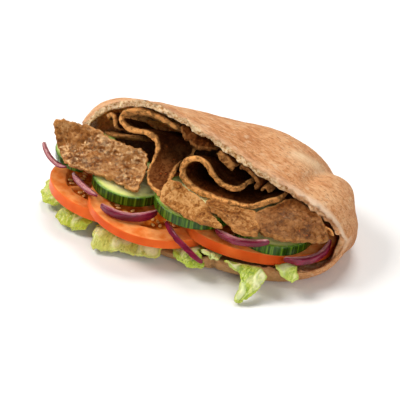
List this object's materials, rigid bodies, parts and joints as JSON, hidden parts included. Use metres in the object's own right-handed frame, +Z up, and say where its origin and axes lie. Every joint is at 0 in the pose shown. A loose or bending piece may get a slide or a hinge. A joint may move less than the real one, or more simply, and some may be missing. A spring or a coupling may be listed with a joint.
{
  "type": "doner kebab sandwich",
  "caption": "Oval pita cut open along one long side and filled with folded slices of doner meat, cucumber, tomato, red onion and lettuce.",
  "frame": {"origin": "on the flat underside of the pita, in the middle of the patch that it rests on", "axes": "+X along the mouth, left to right as seen from in front of it; -Y out of the mouth; +Z up"},
  "size_m": [0.1721, 0.1084, 0.0673],
  "materials": {
    "bread": "toasted wheat crust, matt, with a pale torn crumb along the cut edge",
    "doner_meat": "roasted, coarse, with a greasy sheen",
    "tomato": "wet flesh with a smooth skin",
    "cucumber": "wet pale flesh with a dark green rind",
    "red_onion": "glossy purple skin with pale cut faces",
    "lettuce": "thin crisp leaf with a satin sheen"
  },
  "bodies": {
    "root": {"cucumber_left": "cucumber", "cucumber_middle_left": "cucumber", "cucumber_middle_right": "cucumber", "cucumber_right": "cucumber", "lettuce_front": "lettuce", "lettuce_left": "lettuce", "lettuce_left_front": "lettuce", "lettuce_middle": "lettuce", "lettuce_middle_right": "lettuce", "lettuce_right": "lettuce", "lettuce_right_tip": "lettuce", "meat_curl_corner": "doner_meat", "meat_curl_large": "doner_meat", "meat_curl_left": "doner_meat", "meat_curl_small": "doner_meat", "meat_flap_front": "doner_meat", "meat_flap_left": "doner_meat", "meat_flap_right": "doner_meat", "meat_fold_back": "doner_meat", "meat_fold_right": "doner_meat", "meat_fold_tip": "doner_meat", "meat_lump_front": "doner_meat", "meat_strand_top": "doner_meat", "meat_strip_left": "doner_meat", "onion_left": "red_onion", "onion_middle_left": "red_onion", "onion_middle_right": "red_onion", "onion_right": "red_onion", "onion_strip": "red_onion", "onion_tip_left": "red_onion", "pita": "bread", "tomato_left": "tomato", "tomato_middle": "tomato", "tomato_right": "tomato"}
  },
  "joints": []
}
